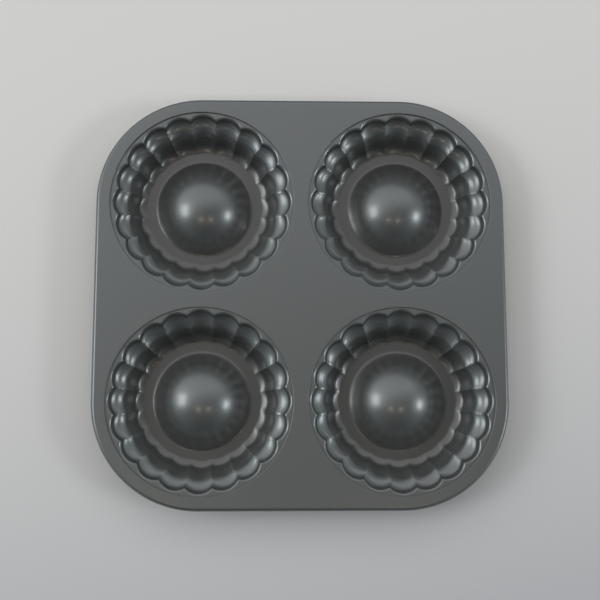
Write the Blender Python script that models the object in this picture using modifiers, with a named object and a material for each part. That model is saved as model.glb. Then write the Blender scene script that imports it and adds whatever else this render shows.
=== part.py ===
"""Mini fluted tart pan: a flat sheet panel with a wired rim, and four drawn cups lapped under its holes.

Metres, +Z up. The origin is in the middle of the pan, on the plane that the floors of the cups stand on.
+X is the pan's right and +Y its back.
"""

import math

import bmesh
import bpy

# Sheet and clearance, shared by all the pieces
sheet = 0.0008
gap = 0.0003
weld_distance = 0.000001

# Cup wall, on its inner face along a flute's crest: out from the cup's axis, then in and down step by step
lip_radius = 0.0566
lip_bend = 0.0012
lip_lean = 0.0012
lip_fall = 0.0052
shoulder_width = 0.0068
shoulder_fall = 0.0032
shoulder_bend = 0.0070
wall_lean = 0.0061
wall_fall = 0.0154
floor_bend = 0.0050
floor_width = 0.0128

# Flutes: how far the cusps between them stand in from their crests
flutes = 20
lip_cusp = 0.0029
floor_cusp = 0.0011

# Dome in the middle of the floor
dome_height = 0.0150
dome_foot_bend = 0.0080

# Panel: each cup has a ledge inside its hole and a flange lapped under the panel
ledge_width = 0.00165
flange_lap = 0.00275
between_flanges = 0.0040
flange_to_roll = 0.0010

# Rolled rim and the wire in it
wire_radius = 0.0014
wire_clearance = 0.0003
roll_turn = 300.0
wire_butt_gap = 0.0006

# Facets
facets_per_flute = 4
flange_facets = 40
dome_facets = 32
dome_rings = 4
dome_foot_rings = 2
hole_facets = 48
corner_facets = 8
roll_facets = 10
wire_bevel_resolution = 1
smooth_angle = 40.0

# Sizes that follow from those above
shoulder_outer_radius = lip_radius - lip_lean
shoulder_inner_radius = shoulder_outer_radius - shoulder_width
floor_radius = shoulder_inner_radius - wall_lean
dome_radius = floor_radius - floor_width
roll_radius = wire_radius + wire_clearance + sheet
hole_radius = lip_radius + ledge_width
flange_radius = hole_radius + flange_lap
cup_pitch = 2.0 * flange_radius + between_flanges
panel_corner_radius = flange_radius + flange_to_roll + 2.0 * roll_radius
panel_half = cup_pitch / 2.0 + panel_corner_radius
cup_depth = lip_fall + shoulder_fall + wall_fall
flange_height = sheet + cup_depth
panel_height = flange_height + gap + sheet
roll_height = panel_height - roll_radius


def clear_scene():
    for obj in list(bpy.data.objects):
        bpy.data.objects.remove(obj, do_unlink=True)


def new_collection(name, hidden=False):
    collection = bpy.data.collections.new(name)
    bpy.context.scene.collection.children.link(collection)
    collection.hide_render = hidden
    return collection


def new_material(name, colour, metallic, roughness):
    material = bpy.data.materials.new(name)
    material.use_nodes = True
    shader = material.node_tree.nodes["Principled BSDF"]
    shader.inputs["Base Color"].default_value = (*colour, 1.0)
    shader.inputs["Metallic"].default_value = metallic
    shader.inputs["Roughness"].default_value = roughness
    return material


def shade(mesh):
    mesh.shade_smooth()
    mesh.set_sharp_from_angle(angle=math.radians(smooth_angle))


def add_object(name, data, collection, material):
    data.materials.append(material)
    obj = bpy.data.objects.new(name, data)
    collection.objects.link(obj)
    return obj


def add_wall_thickness(obj):
    """Gives an open surface the sheet's thickness, away from the face that shows."""
    solidify = obj.modifiers.new("Sheet", "SOLIDIFY")
    solidify.thickness = sheet
    solidify.offset = -1.0
    solidify.use_even_offset = True


def turned_mesh(name, profile, steps):
    """The open surface that a profile of (radius, height) points makes when it turns about Z."""
    mesh = bpy.data.meshes.new(name)
    edges = [(i, i + 1) for i in range(len(profile) - 1)]
    mesh.from_pydata([(radius, 0.0, height) for radius, height in profile], edges, [])
    obj = bpy.data.objects.new(name, mesh)
    bpy.context.scene.collection.objects.link(obj)
    screw = obj.modifiers.new("Turn", "SCREW")
    screw.axis = "Z"
    screw.steps = steps
    screw.render_steps = steps
    screw.use_merge_vertices = True
    screw.merge_threshold = weld_distance
    graph = bpy.context.evaluated_depsgraph_get()
    turned = bpy.data.meshes.new_from_object(obj.evaluated_get(graph))
    bpy.data.objects.remove(obj, do_unlink=True)
    return turned


def circle_points(radius, count, centre_x=0.0, centre_y=0.0):
    turns = [2.0 * math.pi * i / count for i in range(count)]
    return [(centre_x + radius * math.cos(a), centre_y + radius * math.sin(a)) for a in turns]


def add_loop(bm, points, height):
    """A closed loop of edges through (x, y) points at one height."""
    verts = [bm.verts.new((x, y, height)) for x, y in points]
    return [bm.edges.new((a, b)) for a, b in zip(verts, verts[1:] + verts[:1])]


def edges_at(bm, height, low_radius, high_radius):
    """The open edges at one height whose two ends lie between two radii about Z."""
    found = []
    for edge in bm.edges:
        flat = all(abs(v.co.z - height) < weld_distance for v in edge.verts)
        near = all(low_radius < math.hypot(v.co.x, v.co.y) < high_radius for v in edge.verts)
        if flat and near and len(edge.link_faces) < 2:
            found.append(edge)
    return found


def face_up(bm, test_height):
    """Turns all faces the same way, with those at the height facing up."""
    bmesh.ops.recalc_face_normals(bm, faces=bm.faces)
    flat = [f for f in bm.faces if all(abs(v.co.z - test_height) < weld_distance for v in f.verts)]
    if sum(f.normal.z * f.calc_area() for f in flat) < 0.0:
        bmesh.ops.reverse_faces(bm, faces=bm.faces)


def bend_ends(before, corner, after, bend):
    """The two points where a round bend leaves the straight runs that meet at a corner."""
    ways = []
    for end in (before, after):
        run = math.dist(end, corner)
        ways.append(((end[0] - corner[0]) / run, (end[1] - corner[1]) / run))
    cosine = ways[0][0] * ways[1][0] + ways[0][1] * ways[1][1]
    back = bend / math.tan(math.acos(cosine) / 2.0)
    return [(corner[0] + x * back, corner[1] + y * back) for x, y in ways]


def wall_profile():
    """The crest line of a flute, from the flange down to the floor."""
    flange = (flange_radius, flange_height)
    lip = (lip_radius, flange_height)
    shoulder_outer = (shoulder_outer_radius, flange_height - lip_fall)
    shoulder_inner = (shoulder_inner_radius, sheet + wall_fall)
    floor_corner = (floor_radius, sheet)
    floor = (dome_radius, sheet)
    return [
        *bend_ends(flange, lip, shoulder_outer, lip_bend),
        shoulder_outer,
        *bend_ends(shoulder_outer, shoulder_inner, floor_corner, shoulder_bend),
        *bend_ends(shoulder_inner, floor_corner, floor, floor_bend),
    ]


def dome_profile():
    """A part of a ball on a wide hollow foot bend, from the floor up to the axis."""
    ball = (dome_radius**2 + dome_height**2) / (2.0 * dome_height)
    ball_height = sheet + dome_height - ball
    rise = sheet + dome_foot_bend - ball_height
    foot_radius = math.sqrt((ball + dome_foot_bend) ** 2 - rise**2)
    lean = math.atan2(rise, foot_radius)
    points = []
    for i in range(dome_foot_rings):
        angle = (math.pi / 2.0 - lean) * i / dome_foot_rings
        points.append((foot_radius - dome_foot_bend * math.sin(angle),
                       sheet + dome_foot_bend - dome_foot_bend * math.cos(angle)))
    for i in range(dome_rings + 1):
        angle = lean + (math.pi / 2.0 - lean) * i / dome_rings
        points.append((ball * math.cos(angle), ball_height + ball * math.sin(angle)))
    return points


def lobe_share(angle):
    """How far in a flute stands at an angle: 0 at its crest, 1 at the cusp, along a round arc between."""
    pitch = 2.0 * math.pi / flutes
    away = abs((angle + pitch / 2.0) % pitch - pitch / 2.0)
    cusp_radius = lip_radius - lip_cusp
    across = cusp_radius * math.sin(pitch / 2.0)
    fall = lip_radius - cusp_radius * math.cos(pitch / 2.0)
    arc = (across**2 + fall**2) / (2.0 * fall)
    centre = lip_radius - arc
    radius = centre * math.cos(away) + math.sqrt(arc**2 - (centre * math.sin(away)) ** 2)
    return (lip_radius - radius) / lip_cusp


def press_flutes(bm):
    """Moves the turned wall in between the crests, by less and less towards the floor."""
    for vert in bm.verts:
        radius = math.hypot(vert.co.x, vert.co.y)
        height_share = (vert.co.z - sheet) / cup_depth
        depth = floor_cusp + (lip_cusp - floor_cusp) * height_share
        pressed = radius - depth * lobe_share(math.atan2(vert.co.y, vert.co.x))
        vert.co.x *= pressed / radius
        vert.co.y *= pressed / radius


def cup_mesh():
    """The cup's inner face: flange, fluted wall, floor ring and dome."""
    bm = bmesh.new()
    bm.from_mesh(turned_mesh("wall_turn", wall_profile(), flutes * facets_per_flute))
    press_flutes(bm)
    lip_edges = edges_at(bm, flange_height, floor_radius, flange_radius)
    floor_edges = edges_at(bm, sheet, dome_radius, lip_radius)
    flange_edges = add_loop(bm, circle_points(flange_radius, flange_facets), flange_height)
    bmesh.ops.triangle_fill(bm, use_beauty=True, edges=lip_edges + flange_edges)
    wall_verts = set(bm.verts)
    bm.from_mesh(turned_mesh("dome_turn", dome_profile(), dome_facets))
    dome_verts = set(bm.verts) - wall_verts
    foot_edges = [e for e in edges_at(bm, sheet, 0.0, lip_radius) if e.verts[0] in dome_verts]
    bmesh.ops.triangle_fill(bm, use_beauty=True, edges=floor_edges + foot_edges)
    face_up(bm, flange_height)
    mesh = bpy.data.meshes.new("fluted_cup")
    bm.to_mesh(mesh)
    bm.free()
    shade(mesh)
    return mesh


def outline_points(inset):
    """The panel's outline, moved in by an inset: (x, y) points, anticlockwise from the right side."""
    radius = panel_corner_radius - inset
    far = cup_pitch / 2.0
    points = []
    for quarter, (cx, cy) in enumerate(((far, far), (-far, far), (-far, -far), (far, -far))):
        for i in range(corner_facets + 1):
            angle = math.pi / 2.0 * (quarter + i / corner_facets)
            points.append((cx + radius * math.cos(angle), cy + radius * math.sin(angle)))
    return points


def panel_mesh():
    """The panel's top face: a flat sheet with four round holes, rolled down and under all round."""
    bm = bmesh.new()
    loops = []
    for i in range(roll_facets + 1):
        angle = math.radians(90.0 - roll_turn * i / roll_facets)
        inset = roll_radius - roll_radius * math.cos(angle)
        height = roll_height + roll_radius * math.sin(angle)
        loops.append(add_loop(bm, outline_points(inset), height))
    for outer, inner in zip(loops, loops[1:]):
        bmesh.ops.bridge_loops(bm, edges=outer + inner)
    flat_edges = list(loops[0])
    for x in (-cup_pitch / 2.0, cup_pitch / 2.0):
        for y in (-cup_pitch / 2.0, cup_pitch / 2.0):
            flat_edges += add_loop(bm, circle_points(hole_radius, hole_facets, x, y), panel_height)
    bmesh.ops.triangle_fill(bm, use_beauty=True, edges=flat_edges)
    face_up(bm, panel_height)
    mesh = bpy.data.meshes.new("top_panel")
    bm.to_mesh(mesh)
    bm.free()
    shade(mesh)
    return mesh


def wire_curve():
    """The rim wire: once round inside the rolled rim, its two ends butted in the middle of the back."""
    around = outline_points(roll_radius)
    back = corner_facets + 1
    around = around[back:] + around[:back]
    y = panel_half - roll_radius
    points = [(-wire_butt_gap / 2.0, y), *around, (wire_butt_gap / 2.0, y)]
    curve = bpy.data.curves.new("rim_wire", "CURVE")
    curve.dimensions = "3D"
    curve.bevel_depth = wire_radius
    curve.bevel_resolution = wire_bevel_resolution
    curve.use_fill_caps = True
    spline = curve.splines.new("POLY")
    spline.points.add(len(points) - 1)
    for point, (px, py) in zip(spline.points, points):
        point.co = (px, py, roll_height, 1.0)
        point.radius = 1.0
    return curve


def main():
    clear_scene()
    pan = new_collection("mini_fluted_tart_pan")
    coating = new_material("grey_nonstick_coating", (0.17, 0.175, 0.178), 0.7, 0.36)
    cup_coating = new_material("grey_nonstick_cup_coating", (0.15, 0.156, 0.16), 0.7, 0.34)
    steel = new_material("plain_steel_wire", (0.55, 0.55, 0.54), 1.0, 0.35)

    panel = add_object("top_panel", panel_mesh(), pan, coating)
    add_wall_thickness(panel)
    cup_data = cup_mesh()
    cup_data.materials.append(cup_coating)
    for side, x in (("left", -cup_pitch / 2.0), ("right", cup_pitch / 2.0)):
        for end, y in (("front", -cup_pitch / 2.0), ("back", cup_pitch / 2.0)):
            cup = bpy.data.objects.new(f"fluted_cup_{end}_{side}", cup_data)
            cup.location = (x, y, 0.0)
            pan.objects.link(cup)
            add_wall_thickness(cup)
    add_object("rim_wire", wire_curve(), pan, steel)


main()
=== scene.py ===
# Mini fluted tart pan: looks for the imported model, in metres, +Z up
import math

import bpy
from mathutils import Matrix, Vector


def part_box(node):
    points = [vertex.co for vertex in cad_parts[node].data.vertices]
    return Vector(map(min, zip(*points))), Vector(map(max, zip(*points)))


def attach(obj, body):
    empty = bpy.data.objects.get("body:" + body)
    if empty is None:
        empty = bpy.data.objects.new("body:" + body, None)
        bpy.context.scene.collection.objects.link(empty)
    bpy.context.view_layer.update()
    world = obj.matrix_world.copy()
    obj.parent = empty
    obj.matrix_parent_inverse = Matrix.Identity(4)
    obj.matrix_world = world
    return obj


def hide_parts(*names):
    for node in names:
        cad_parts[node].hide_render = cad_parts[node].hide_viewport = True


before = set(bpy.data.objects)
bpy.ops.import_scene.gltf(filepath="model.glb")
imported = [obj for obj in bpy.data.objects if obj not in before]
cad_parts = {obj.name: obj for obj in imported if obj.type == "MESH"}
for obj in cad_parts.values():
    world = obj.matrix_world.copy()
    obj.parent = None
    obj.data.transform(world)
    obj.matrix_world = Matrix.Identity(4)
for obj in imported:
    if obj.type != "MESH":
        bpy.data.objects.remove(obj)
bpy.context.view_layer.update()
print("frame loaded")

mm = 0.001


def deselectAll():
    bpy.ops.object.select_all(action="DESELECT")


def makeActive(piece):
    deselectAll()
    piece.select_set(True)
    bpy.context.view_layer.objects.active = piece


def applyAll(piece):
    makeActive(piece)
    for modifier in list(piece.modifiers):
        bpy.ops.object.modifier_apply(modifier=modifier.name)


def newMaterial(name):
    material = bpy.data.materials.new(name)
    material.use_nodes = True
    tree = material.node_tree
    return material, tree.nodes, tree.links, tree.nodes["Principled BSDF"]


def giveMaterial(piece, material):
    piece.data.materials.clear()
    piece.data.materials.append(material)


# Coating: dark grey, partly metallic, semi-gloss, with a fine grain, a light clear coat and painted shade
# low in the cups
coatingLook = {
    "metallic": 0.57,
    "floorShadeColor": (0.086, 0.085, 0.081),  # painted shade: darker and a little browner on the cups' floors, where walls and dome shade them
    "topColor": (0.140, 0.145, 0.144),  # the coating's own colour, from the top height up
    # the painted shade is full below the first height and gone above the second
    "shadeFullHeight": 0.0012,
    "shadeEndHeight": 0.0080,
    "grainShare": 0.16,
    "grainScale": 900.0,
    "grainDetail": 3.0,
    "bumpStrength": 0.12,
    "bumpDepth": 0.00002,
    "roughLow": 0.32,  # the roughness drifts between these two in wide clouds
    "roughHigh": 0.36,
    "cloudScale": 22.0,
    "cloudDetail": 4.0,
    "coatWeight": 0.5,
    "coatRoughness": 0.2,
}


def makeCoating(name, look):
    material, nodes, links, shader = newMaterial(name)
    shader.inputs["Metallic"].default_value = look["metallic"]
    shader.inputs["Coat Weight"].default_value = look["coatWeight"]
    shader.inputs["Coat Roughness"].default_value = look["coatRoughness"]
    place = nodes.new("ShaderNodeTexCoord")
    split = nodes.new("ShaderNodeSeparateXYZ")
    # painted shade: the colour darkens from the top height down to the deep height, low in the cups
    height = nodes.new("ShaderNodeMapRange")
    height.inputs["From Min"].default_value = look["shadeFullHeight"]
    height.inputs["From Max"].default_value = look["shadeEndHeight"]
    shadeTint = nodes.new("ShaderNodeMix")
    shadeTint.data_type = "RGBA"
    shadeTint.inputs["A"].default_value = (*look["floorShadeColor"], 1.0)
    shadeTint.inputs["B"].default_value = (*look["topColor"], 1.0)
    grain = nodes.new("ShaderNodeTexNoise")
    grain.inputs["Scale"].default_value = look["grainScale"]
    grain.inputs["Detail"].default_value = look["grainDetail"]
    cloud = nodes.new("ShaderNodeTexNoise")
    cloud.inputs["Scale"].default_value = look["cloudScale"]
    cloud.inputs["Detail"].default_value = look["cloudDetail"]
    mix = nodes.new("ShaderNodeMix")
    mix.data_type = "RGBA"
    mix.blend_type = "MULTIPLY"
    mix.inputs["Factor"].default_value = look["grainShare"]
    rough = nodes.new("ShaderNodeMapRange")
    rough.inputs["To Min"].default_value = look["roughLow"]
    rough.inputs["To Max"].default_value = look["roughHigh"]
    bump = nodes.new("ShaderNodeBump")
    bump.inputs["Strength"].default_value = look["bumpStrength"]
    bump.inputs["Distance"].default_value = look["bumpDepth"]
    links.new(place.outputs["Object"], grain.inputs["Vector"])
    links.new(place.outputs["Object"], cloud.inputs["Vector"])
    links.new(place.outputs["Object"], split.inputs["Vector"])
    links.new(split.outputs["Z"], height.inputs["Value"])
    links.new(height.outputs["Result"], shadeTint.inputs["Factor"])
    links.new(shadeTint.outputs["Result"], mix.inputs["A"])
    links.new(grain.outputs["Fac"], mix.inputs["B"])
    links.new(mix.outputs["Result"], shader.inputs["Base Color"])
    links.new(cloud.outputs["Fac"], rough.inputs["Value"])
    links.new(rough.outputs["Result"], shader.inputs["Roughness"])
    links.new(grain.outputs["Fac"], bump.inputs["Height"])
    links.new(bump.outputs["Normal"], shader.inputs["Normal"])
    return material


panelCoating = makeCoating("panelCoating", coatingLook)
cupCoating = makeCoating("cupCoating", coatingLook)
print("coatings made")

# Fluted cup: a stop on the crest line is (radius, depth below the flange, lean in degrees)
# a lean is measured off the vertical: 90 is flat, and more than 90 rises towards the dome
cup = {
    "flutes": 20,
    "pointsPerFlute": 16,
    "flangeRadius": 61.0 * mm,
    "sheet": 0.8 * mm,
    "lipRadius": 57.6 * mm,
    "lipTopRound": 0.6 * mm,
    "lipSlope": 27,  # degrees below the flange
    "lipSlopeLength": 0.65 * mm,
    "lipRound": 0.9 * mm,
    "lipLean": 8,  # at the top of the wall
    "lipSteps": 5,
    "stops": [
        (55.7 * mm, 3.9 * mm, 15),
        (54.9 * mm, 5.4 * mm, 56),
        (52.2 * mm, 6.9 * mm, 70),
        (49.2 * mm, 8.6 * mm, 56),
        (46.9 * mm, 12.3 * mm, 29),
        (44.9 * mm, 17.4 * mm, 23),
        (43.5 * mm, 20.4 * mm, 32),
        (42.0 * mm, 22.2 * mm, 56),
        (39.0 * mm, 23.5 * mm, 70),
        (37.4 * mm, 23.8 * mm, 90),
        (32.3 * mm, 23.8 * mm, 90),
        (30.5 * mm, 23.38 * mm, 115),
        (27.8 * mm, 21.85 * mm, 124),
        (24.1 * mm, 18.9 * mm, 136),
    ],
    "stepsPerStop": 5,
    "lipCusp": 3.0 * mm,  # how far the cusps between flutes stand in from the crests
    "floorCusp": 1.2 * mm,
    "cuspsFull": 41.5 * mm,  # inside this radius the cusps run out
    "cuspsGone": 35.5 * mm,
    "domeSteps": 24,
    "smoothAngle": 35,
}


def smoothRun(stops, steps):
    # a smooth line through the stops, each passed at its own lean
    line = []
    for (r0, d0, lean0), (r1, d1, lean1) in zip(stops, stops[1:]):
        reach = math.hypot(r1 - r0, d1 - d0)
        out0 = (-math.sin(math.radians(lean0)) * reach, math.cos(math.radians(lean0)) * reach)
        out1 = (-math.sin(math.radians(lean1)) * reach, math.cos(math.radians(lean1)) * reach)
        for i in range(steps):
            t = i / steps
            start, pull0 = 2 * t**3 - 3 * t**2 + 1, t**3 - 2 * t**2 + t
            end, pull1 = 3 * t**2 - 2 * t**3, t**3 - t**2
            line.append((start * r0 + pull0 * out0[0] + end * r1 + pull1 * out1[0],
                         start * d0 + pull0 * out0[1] + end * d1 + pull1 * out1[1]))
    line.append(stops[-1][:2])
    return line


def cupProfile(cup, flangeTop):
    # (radius, height, how far the cusps are pressed in: none on the dome)
    deep = max(depth for radius, depth, lean in cup["stops"])
    # the lip: a small round, a short slope, then a larger round down into the wall
    radius, depth = cup["lipRadius"], 0.0
    slope, steep = math.radians(cup["lipSlope"]), math.radians(90 - cup["lipLean"])
    profile = []
    for start, end, bend in ((0.0, slope, cup["lipTopRound"]), (slope, steep, cup["lipRound"])):
        for i in range(cup["lipSteps"]):
            angle = start + (end - start) * i / cup["lipSteps"]
            profile.append((radius - bend * (math.sin(angle) - math.sin(start)),
                            flangeTop - depth - bend * (math.cos(start) - math.cos(angle)), cup["lipCusp"]))
        radius -= bend * (math.sin(end) - math.sin(start))
        depth += bend * (math.cos(start) - math.cos(end))
        if end == slope:
            profile.append((radius, flangeTop - depth, cup["lipCusp"]))
            radius -= cup["lipSlopeLength"] * math.cos(slope)
            depth += cup["lipSlopeLength"] * math.sin(slope)
    # the wall and the floor ring, where the cusps get shallower and then run out
    wallTop = (radius, depth, cup["lipLean"])
    for radius, depth in smoothRun([wallTop] + cup["stops"], cup["stepsPerStop"]):
        share = max(0.0, 1.0 - depth / deep)
        press = cup["floorCusp"] + (cup["lipCusp"] - cup["floorCusp"]) * share
        fade = (radius - cup["cuspsGone"]) / (cup["cuspsFull"] - cup["cuspsGone"])
        profile.append((radius, flangeTop - depth, press * min(1.0, max(0.0, fade))))
    # the dome is a ball's cap that goes on from the last stop at its lean
    footRadius, footDepth, lean = cup["stops"][-1]
    slope = math.radians(lean - 90)
    ball = footRadius / math.sin(slope)
    ballZ = flangeTop - footDepth - ball * math.cos(slope)
    for i in range(1, cup["domeSteps"]):
        angle = slope * (1 - i / cup["domeSteps"])
        profile.append((ball * math.sin(angle), ballZ + ball * math.cos(angle), 0.0))
    return profile, ballZ + ball


def lobeShare(cup, angle):
    # 0 on a crest, 1 on the cusp between two crests, along a round arc
    pitch = 2 * math.pi / cup["flutes"]
    away = abs((angle + pitch / 2) % pitch - pitch / 2)
    crest = cup["lipRadius"]
    cuspR = crest - cup["lipCusp"]
    across, fall = cuspR * math.sin(pitch / 2), crest - cuspR * math.cos(pitch / 2)
    arc = (across**2 + fall**2) / (2 * fall)
    centre = crest - arc
    radius = centre * math.cos(away) + math.sqrt(arc**2 - (centre * math.sin(away)) ** 2)
    return (crest - radius) / cup["lipCusp"]


def pressFlutes(piece, cup, profile, count):
    # moves each ring of the turned wall in between the crests
    verts = piece.data.vertices
    for ring, (radius, height, press) in enumerate(profile, start=1):
        if press == 0:
            continue
        for vert in verts[ring * count:(ring + 1) * count]:
            angle = math.atan2(vert.co.y, vert.co.x)
            pressed = radius - press * lobeShare(cup, angle)
            vert.co.x, vert.co.y = pressed * math.cos(angle), pressed * math.sin(angle)


def turnUp(piece):
    # an open sheet's faces have to point up before it gets its thickness
    if sum(face.normal.z * face.area for face in piece.data.polygons) < 0:
        piece.data.flip_normals()


def makeCup(cup, flangeTop):
    profile, domeTop = cupProfile(cup, flangeTop)
    count = cup["flutes"] * cup["pointsPerFlute"]
    deselectAll()
    bpy.ops.mesh.primitive_circle_add(vertices=count, radius=cup["flangeRadius"],
                                      fill_type="NOTHING", location=(0, 0, flangeTop))
    piece = bpy.context.object
    bpy.ops.object.transform_apply(location=True, rotation=True, scale=True)
    bpy.ops.object.mode_set(mode="EDIT")
    bpy.ops.mesh.select_all(action="SELECT")
    radius, height = cup["flangeRadius"], flangeTop
    for nextRadius, nextHeight, press in profile:
        bpy.ops.mesh.extrude_edges_move()
        grow = nextRadius / radius
        bpy.ops.transform.resize(value=(grow, grow, 1), center_override=(0, 0, height))
        bpy.ops.transform.translate(value=(0, 0, nextHeight - height))
        radius, height = nextRadius, nextHeight
    # the last ring closes in one point, the top of the dome
    bpy.ops.mesh.extrude_edges_move()
    bpy.ops.transform.translate(value=(0, 0, domeTop - height))
    bpy.ops.mesh.merge(type="CENTER")
    bpy.ops.mesh.select_all(action="SELECT")
    bpy.ops.mesh.normals_make_consistent(inside=False)
    bpy.ops.object.mode_set(mode="OBJECT")
    pressFlutes(piece, cup, profile, count)
    turnUp(piece)
    return piece


def giveSheetThickness(piece, thickness):
    solidify = piece.modifiers.new("sheet", "SOLIDIFY")
    solidify.thickness = thickness
    solidify.offset = -1.0  # all of it below the modelled face
    solidify.use_even_offset = True
    applyAll(piece)


def shadeByAngle(piece, degrees):
    makeActive(piece)
    bpy.ops.object.shade_smooth_by_angle(angle=math.radians(degrees))


def middleOf(node):
    low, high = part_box(node)
    return (low.x + high.x) / 2, (low.y + high.y) / 2


cupNodes = [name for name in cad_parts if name.startswith("fluted_cup")]
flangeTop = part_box(cupNodes[0])[1].z
masterCup = makeCup(cup, flangeTop)
giveSheetThickness(masterCup, cup["sheet"])
shadeByAngle(masterCup, cup["smoothAngle"])
giveMaterial(masterCup, cupCoating)
for node in cupNodes:
    piece = masterCup
    if node != cupNodes[-1]:  # the master itself is the last cup
        piece = masterCup.copy()
        piece.data = masterCup.data.copy()
        bpy.context.scene.collection.objects.link(piece)
    piece.name = node.replace("fluted", "pressed")
    piece.data.transform(Matrix.Translation((*middleOf(node), 0)))
    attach(piece, "root")
    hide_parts(node)
print("cups made")

# Top panel: flat sheet, round holes, edge rolled over a wire
panel = {
    "cornerRadius": 67.0 * mm,
    "cornerSteps": 32,
    "holeRadius": 58.25 * mm,
    "holePoints": 160,
    "holeRing": 1.6 * mm,  # an even ring of faces round each hole
    "sheet": 0.8 * mm,
    "rollRadius": 2.5 * mm,
    "rollSteps": 8,
    "rollEndRise": 3.7 * mm,  # how far the edge comes up again inside the roll
    "edgeRound": 0.38 * mm,
    "edgeSteps": 3,
    "edgeAngle": 60,  # only edges sharper than this are rounded
    "smoothAngle": 40,
    "faceWeight": 100,  # how much the flat faces steady the shading beside them
    "mergeDistance": 0.01 * mm,
}


def startSelection(kind):
    # leaves nothing selected, in object mode, where edges and faces can be marked in code
    bpy.ops.object.mode_set(mode="EDIT")
    bpy.ops.mesh.select_mode(type=kind)
    bpy.ops.mesh.select_all(action="DESELECT")
    bpy.ops.object.mode_set(mode="OBJECT")


def selectEdges(piece, test):
    # marks the edges whose two ends both pass the test, and goes into edit mode
    startSelection("EDGE")
    verts = piece.data.vertices
    for edge in piece.data.edges:
        edge.select = all(test(verts[v].co) for v in edge.vertices)
    bpy.ops.object.mode_set(mode="EDIT")


def selectFaces(piece, test):
    startSelection("FACE")
    for face in piece.data.polygons:
        face.select = test(face)
    bpy.ops.object.mode_set(mode="EDIT")


def near(a, b):
    return abs(a - b) < panel["mergeDistance"]


def onOutline(panel, halfX, halfY, inset, co):
    # true where a point lies on the rounded outline moved in by the inset
    radius = panel["cornerRadius"] - inset
    x = max(0.0, abs(co.x) - (halfX - panel["cornerRadius"]))
    y = max(0.0, abs(co.y) - (halfY - panel["cornerRadius"]))
    return near(math.hypot(x, y), radius)


def makeRolledSheet(panel, halfX, halfY, top):
    # plane with round corners, sides down and a turned-in bottom: bevels make the roll from these
    roll = panel["rollRadius"]
    bottom = top - 2 * roll
    deselectAll()
    bpy.ops.mesh.primitive_plane_add(size=2, location=(0, 0, top))
    piece = bpy.context.object
    piece.scale = (halfX, halfY, 1)
    bpy.ops.object.transform_apply(location=True, rotation=True, scale=True)
    bpy.ops.object.mode_set(mode="EDIT")
    bpy.ops.mesh.select_all(action="SELECT")
    bpy.ops.mesh.bevel(offset=panel["cornerRadius"], segments=panel["cornerSteps"], affect="VERTICES")
    bpy.ops.mesh.select_all(action="SELECT")
    bpy.ops.mesh.extrude_region_move(TRANSFORM_OT_translate={"value": (0, 0, -2 * roll)})
    bpy.ops.mesh.inset(thickness=2 * roll, use_even_offset=True)
    bpy.ops.mesh.delete(type="FACE")
    selectEdges(piece, lambda co: near(co.z, bottom) and onOutline(panel, halfX, halfY, 2 * roll, co))
    bpy.ops.mesh.extrude_edges_move(TRANSFORM_OT_translate={"value": (0, 0, panel["rollEndRise"])})
    selectEdges(piece, lambda co: near(co.z, top))
    bpy.ops.mesh.edge_face_add()
    bpy.ops.mesh.select_all(action="SELECT")
    bpy.ops.mesh.normals_make_consistent(inside=False)
    for height, inset in ((bottom, 2 * roll), (bottom, 0.0), (top, 0.0)):
        selectEdges(piece, lambda co: near(co.z, height) and onOutline(panel, halfX, halfY, inset, co))
        bpy.ops.mesh.bevel(offset=roll, segments=panel["rollSteps"], clamp_overlap=False)
    bpy.ops.mesh.select_all(action="SELECT")
    bpy.ops.mesh.remove_doubles(threshold=panel["mergeDistance"])
    return piece


def cutHoles(piece, panel, centres, top):
    # the flat face is taken out and filled again, this time round the holes
    selectFaces(piece, lambda face: near(face.center.z, top) and len(face.vertices) > 4)
    bpy.ops.mesh.delete(type="ONLY_FACE")
    hole, ring = panel["holeRadius"], panel["holeRadius"] + panel["holeRing"]
    for x, y in centres:
        bpy.ops.mesh.primitive_circle_add(vertices=panel["holePoints"], radius=ring,
                                          fill_type="NOTHING", location=(x, y, top))
    selectEdges(piece, lambda co: near(co.z, top))
    bpy.ops.mesh.fill(use_beauty=True)
    for x, y in centres:
        selectEdges(piece, lambda co: near(co.z, top) and near(math.hypot(co.x - x, co.y - y), ring))
        bpy.ops.mesh.extrude_edges_move()
        bpy.ops.transform.resize(value=(hole / ring, hole / ring, 1), center_override=(x, y, top))
    bpy.ops.mesh.select_all(action="SELECT")
    bpy.ops.mesh.normals_make_consistent(inside=False)
    bpy.ops.object.mode_set(mode="OBJECT")
    turnUp(piece)


def roundSheetEdges(piece, panel):
    bevel = piece.modifiers.new("edges", "BEVEL")
    bevel.width = panel["edgeRound"]
    bevel.segments = panel["edgeSteps"]
    bevel.limit_method = "ANGLE"
    bevel.angle_limit = math.radians(panel["edgeAngle"])
    applyAll(piece)


def steadyNormals(piece, weight):
    weighted = piece.modifiers.new("normals", "WEIGHTED_NORMAL")
    weighted.keep_sharp = True
    weighted.weight = weight
    applyAll(piece)


low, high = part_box("top_panel")
panelPiece = makeRolledSheet(panel, (high.x - low.x) / 2, (high.y - low.y) / 2, high.z)
cutHoles(panelPiece, panel, [middleOf(node) for node in cupNodes], high.z)
giveSheetThickness(panelPiece, panel["sheet"])
roundSheetEdges(panelPiece, panel)
shadeByAngle(panelPiece, panel["smoothAngle"])
steadyNormals(panelPiece, panel["faceWeight"])
panelPiece.name = "rolled_edge_panel"
giveMaterial(panelPiece, panelCoating)
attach(panelPiece, "root")
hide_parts("top_panel")
print("panel made")

# Rim wire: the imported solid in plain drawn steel, a little uneven in its shine
wireLook = {
    "color": (0.56, 0.55, 0.53),
    "metallic": 1.0,
    "roughLow": 0.30,
    "roughHigh": 0.42,
    "grainScale": 400.0,
}


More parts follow.
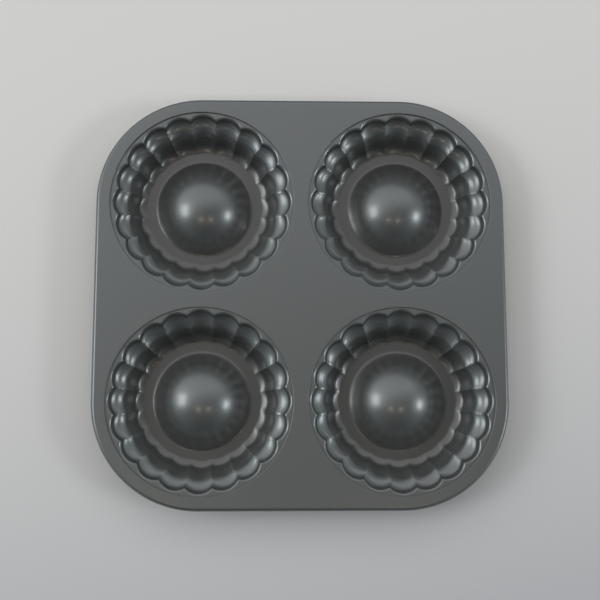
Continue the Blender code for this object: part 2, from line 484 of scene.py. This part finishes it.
def makeWireSteel(name, look):
    material, nodes, links, shader = newMaterial(name)
    shader.inputs["Base Color"].default_value = (*look["color"], 1.0)
    shader.inputs["Metallic"].default_value = look["metallic"]
    place = nodes.new("ShaderNodeTexCoord")
    grain = nodes.new("ShaderNodeTexNoise")
    grain.inputs["Scale"].default_value = look["grainScale"]
    rough = nodes.new("ShaderNodeMapRange")
    rough.inputs["To Min"].default_value = look["roughLow"]
    rough.inputs["To Max"].default_value = look["roughHigh"]
    links.new(place.outputs["Object"], grain.inputs["Vector"])
    links.new(grain.outputs["Fac"], rough.inputs["Value"])
    links.new(rough.outputs["Result"], shader.inputs["Roughness"])
    return material


giveMaterial(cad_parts["rim_wire"], makeWireSteel("wireSteel", wireLook))
print("wire finished")

# Floor: a plain pale sheet that the pan stands on, with painted light at the back and painted shade darker
# towards the front
floorLook = {
    "size": 6.0,
    "paintedLightColor": (0.745, 0.714, 0.691),
    "paintedShadeColor": (0.469, 0.455, 0.472),
    "paintedLightPlace": (-0.05, 0.24),
    "paintedShadePlace": (0.03, -0.21),
    "fallPower": 1.8,  # over 1, most of the painted fall from light to shade comes near the dark place
    "roughness": 0.9,
}


def makeFloor(look):
    deselectAll()
    bpy.ops.mesh.primitive_plane_add(size=look["size"], location=(0, 0, 0))
    floor = bpy.context.object
    floor.name = "paleFloor"
    material, nodes, links, shader = newMaterial("paleFloor")
    shader.inputs["Roughness"].default_value = look["roughness"]
    # how far a point is along the line from the light place to the dark one, from 0 to 1
    (x0, y0), (x1, y1) = look["paintedLightPlace"], look["paintedShadePlace"]
    reach = (x1 - x0) ** 2 + (y1 - y0) ** 2
    place = nodes.new("ShaderNodeTexCoord")
    along = nodes.new("ShaderNodeVectorMath")
    along.operation = "DOT_PRODUCT"
    along.inputs[1].default_value = ((x1 - x0) / reach, (y1 - y0) / reach, 0.0)
    share = nodes.new("ShaderNodeMath")
    share.operation = "SUBTRACT"
    share.use_clamp = True
    share.inputs[1].default_value = (x0 * (x1 - x0) + y0 * (y1 - y0)) / reach
    fall = nodes.new("ShaderNodeMath")
    fall.operation = "POWER"
    fall.inputs[1].default_value = look["fallPower"]
    # painted light and shade: the floor's colour goes from light at the back left to dark at the front
    # right
    tone = nodes.new("ShaderNodeMix")
    tone.data_type = "RGBA"
    tone.inputs["A"].default_value = (*look["paintedLightColor"], 1.0)
    tone.inputs["B"].default_value = (*look["paintedShadeColor"], 1.0)
    links.new(place.outputs["Object"], along.inputs[0])
    links.new(along.outputs["Value"], share.inputs[0])
    links.new(share.outputs["Value"], fall.inputs[0])
    links.new(fall.outputs["Value"], tone.inputs["Factor"])
    links.new(tone.outputs["Result"], shader.inputs["Base Color"])
    giveMaterial(floor, material)


makeFloor(floorLook)
print("floor laid")

# Light: a bright cap of sky overhead, dim sides, two soft boxes and two small warm lamps
light = {
    "capStrength": 0.352,
    "capFrom": 0.63,  # the cap fades in between these two
    "capTo": 0.79,
    "capTilt": (-0.10, 0.26, 1.0),  # leans the cap to the back
    "capStretch": (0.20, 0.0, 0.0),  # reaches further down at the left and right
    "capGain": (-1.8, 5.9, 0.0),  # brighter at the back and left than at the front and right
    "capMost": 1.1,
    "capColor": (0.985, 1.0, 1.0),
    "sideStrength": 0.04,
    "sideGain": (18.0, 0.0, 0.0),  # brighter towards the left and right
    "sideColor": (0.86, 1.0, 1.03),
    # name, place, size, watts and colour
    "lamps": (
        ("softBoxLeft", (-1.75, 0.05, 1.6), (0.96, 0.68), 11.6, (0.96, 1.0, 1.03)),
        ("softBoxRight", (2.16, -0.38, 1.6), (0.70, 0.46), 12.3, (0.96, 1.0, 1.03)),
        ("warmLampLeft", (-0.29, -0.50, 1.38), (0.05, 0.05), 0.54, (1.0, 0.85, 0.68)),
        ("warmLampRight", (0.29, -0.52, 1.39), (0.05, 0.05), 0.54, (1.0, 0.85, 0.68)),
    ),
    "aim": (0.0, 0.0, 0.02),
}


def makeSky(light):
    world = bpy.data.worlds.new("studio")
    bpy.context.scene.world = world
    world.use_nodes = True
    nodes, links = world.node_tree.nodes, world.node_tree.links
    way = nodes.new("ShaderNodeTexCoord").outputs["Generated"]  # the direction looked in

    def dot(vector, values):
        node = nodes.new("ShaderNodeVectorMath")
        node.operation = "DOT_PRODUCT"
        node.inputs[1].default_value = values
        links.new(vector, node.inputs[0])
        return node.outputs["Value"]

    def combine(operation, first, second, third=0.0):
        # one maths node, whose inputs are sockets or numbers
        node = nodes.new("ShaderNodeMath")
        node.operation = operation
        for socket, value in zip(node.inputs, (first, second, third)):
            if isinstance(value, float):
                socket.default_value = value
            else:
                links.new(value, socket)
        return node.outputs["Value"]

    squares = nodes.new("ShaderNodeVectorMath")
    squares.operation = "MULTIPLY"
    links.new(way, squares.inputs[0])
    links.new(way, squares.inputs[1])
    square = squares.outputs["Vector"]
    cap = nodes.new("ShaderNodeMapRange")
    cap.interpolation_type = "SMOOTHSTEP"
    cap.inputs["From Min"].default_value = light["capFrom"]
    cap.inputs["From Max"].default_value = light["capTo"]
    rise = combine("ADD", dot(way, light["capTilt"]), dot(square, light["capStretch"]))
    links.new(rise, cap.inputs["Value"])
    gain = combine("MULTIPLY_ADD", dot(way, light["capGain"]), light["capStrength"], light["capStrength"])
    gain = combine("MINIMUM", combine("MAXIMUM", gain, 0.0), light["capMost"])
    capPower = combine("MULTIPLY", cap.outputs["Result"], gain)
    sidePower = combine("MULTIPLY_ADD", dot(square, light["sideGain"]),
                        light["sideStrength"], light["sideStrength"])
    both = nodes.new("ShaderNodeAddShader")
    skies = ((light["capColor"], capPower), (light["sideColor"], sidePower))
    for socket, (color, power) in zip(both.inputs, skies):
        sky = nodes.new("ShaderNodeBackground")
        sky.inputs["Color"].default_value = (*color, 1.0)
        links.new(power, sky.inputs["Strength"])
        links.new(sky.outputs["Background"], socket)
    links.new(both.outputs["Shader"], nodes["World Output"].inputs["Surface"])


def hangLamps(light):
    for name, location, size, power, color in light["lamps"]:
        deselectAll()
        bpy.ops.object.light_add(type="AREA", location=location)
        lamp = bpy.context.object
        lamp.name = name
        lamp.data.shape = "RECTANGLE"
        lamp.data.size, lamp.data.size_y = size
        lamp.data.energy = power
        lamp.data.color = color
        aim = Vector(light["aim"]) - Vector(location)
        lamp.rotation_euler = aim.to_track_quat("-Z", "Y").to_euler()


makeSky(light)
hangLamps(light)
print("light set")

# Camera: fitted to the four round holes and the outline; its place is above the panel's top
view = {
    "tilt": (-7.634, 1.62, 0.05),
    "place": (-16.2 * mm, -65.3 * mm, 588.0 * mm),
    "pictureWidth": 600.0,  # pixels, as are the focal length and the shift
    "focal": 942.0,
    "shift": (-1.854, -21.575),
    "sensor": 36.0,
}


def makeCamera(view, top):
    turnX, turnY, turnZ = [math.radians(angle) for angle in view["tilt"]]
    turn = Matrix.Rotation(turnX, 3, "X") @ Matrix.Rotation(turnY, 3, "Y") @ Matrix.Rotation(turnZ, 3, "Z")
    deselectAll()
    bpy.ops.object.camera_add()
    camera = bpy.context.object
    camera.name = "camera"
    x, y, z = view["place"]
    camera.matrix_world = Matrix.Translation((x, y, z + top)) @ turn.transposed().to_4x4()
    camera.data.sensor_width = view["sensor"]
    camera.data.lens = view["focal"] / view["pictureWidth"] * view["sensor"]
    shiftX, shiftY = view["shift"]
    camera.data.shift_x = shiftX / view["pictureWidth"]
    camera.data.shift_y = shiftY / view["pictureWidth"]
    bpy.context.scene.camera = camera


makeCamera(view, high.z)
bpy.context.scene.view_settings.view_transform = "Standard"
print("camera placed")
